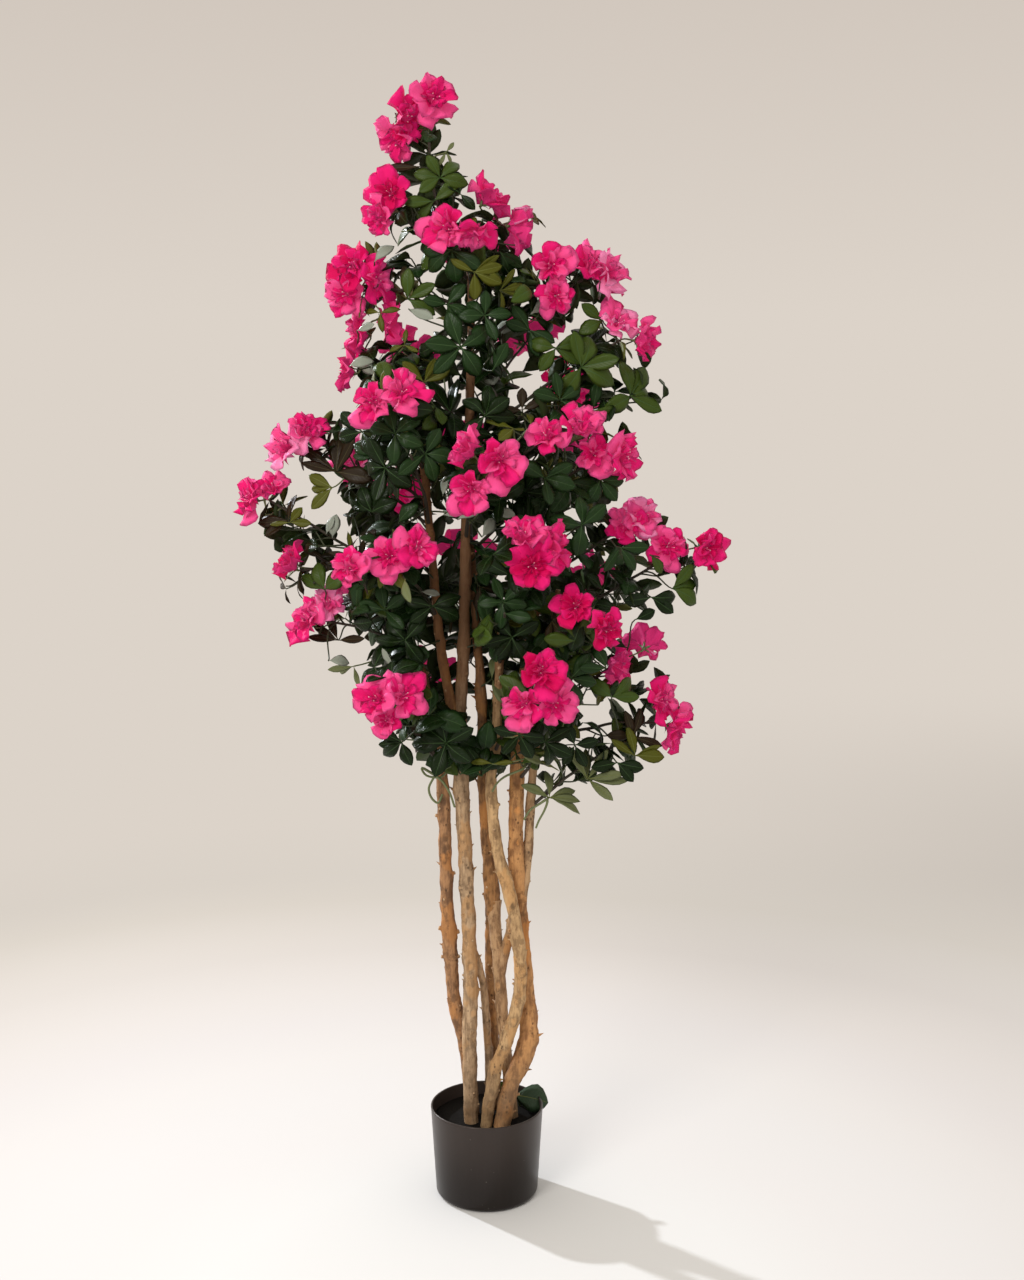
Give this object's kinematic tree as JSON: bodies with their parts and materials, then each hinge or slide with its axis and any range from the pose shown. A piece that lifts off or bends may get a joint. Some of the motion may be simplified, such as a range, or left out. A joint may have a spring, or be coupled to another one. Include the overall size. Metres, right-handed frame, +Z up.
{
  "type": "artificial azalea tree",
  "caption": "Artificial azalea tree with pink double blooms and dark leaves on bare natural wood stems that stand in a black plastic pot.",
  "frame": {"origin": "centre of the pot's flat underside", "axes": "+Z up along the stems, -Y to the front of the plant, +X to its right as seen from the front"},
  "size_m": [0.657, 0.4925, 1.5033],
  "materials": {
    "pot_black": "satin",
    "fill_black": "matte",
    "wood_dark": "matte",
    "wood_grey": "matte",
    "wood_light": "matte",
    "wood_orange": "matte",
    "wood_red": "matte",
    "wood_tan": "matte",
    "leaf_green": "satin"
  },
  "bodies": {
    "root": {"pot": "pot_black", "fill": "fill_black", "foot_leaves": "leaf_green", "stem_main": "wood_grey", "stem_left": "wood_red", "stem_thin": "wood_grey", "stem_twisted": "wood_dark", "stem_forked": "wood_tan", "stem_crossing": "wood_light", "stem_orange": "wood_orange", "fork_arm": "wood_tan", "bough_right": "wood_tan", "bough_left": "wood_orange", "spray_top": "leaf_green", "spray_high_left": "leaf_green", "spray_high_right": "leaf_green", "spray_high_front": "leaf_green", "spray_upper_left": "leaf_green", "spray_upper_left_low": "leaf_green", "spray_left_front": "leaf_green", "spray_left_arm_high": "leaf_green", "spray_left_arm_tip": "leaf_green", "spray_left_inner": "leaf_green", "spray_left_mid": "leaf_green", "spray_front_left": "leaf_green", "spray_left_low": "leaf_green", "spray_low_left_front": "leaf_green", "spray_low_right_front": "leaf_green", "spray_right_low": "leaf_green", "spray_right_low_tip": "leaf_green", "spray_right_mid_front": "leaf_green", "spray_centre_front": "leaf_green", "spray_right_arm": "leaf_green", "spray_right_arm_high": "leaf_green", "spray_mid_front": "leaf_green", "spray_right_front_high": "leaf_green", "spray_right_mid_high": "leaf_green", "spray_upper_right": "leaf_green", "spray_upper_right_tip": "leaf_green", "spray_right_high": "leaf_green", "spray_right_inner": "leaf_green", "spray_leafy_low_right": "leaf_green", "spray_leafy_low_left": "leaf_green", "spray_leafy_low_mid": "leaf_green", "spray_leafy_left_front": "leaf_green", "spray_leafy_high_front": "leaf_green", "spray_leafy_right_edge": "leaf_green", "spray_leafy_mid_front": "leaf_green", "spray_back_top": "leaf_green", "spray_back_high_left": "leaf_green", "spray_back_high_right": "leaf_green", "spray_back_left": "leaf_green", "spray_back_middle": "leaf_green", "spray_back_right": "leaf_green", "spray_back_left_low": "leaf_green", "spray_back_middle_low": "leaf_green", "spray_back_right_low": "leaf_green", "spray_back_low_left": "leaf_green", "spray_back_low_right": "leaf_green"}
  },
  "joints": []
}
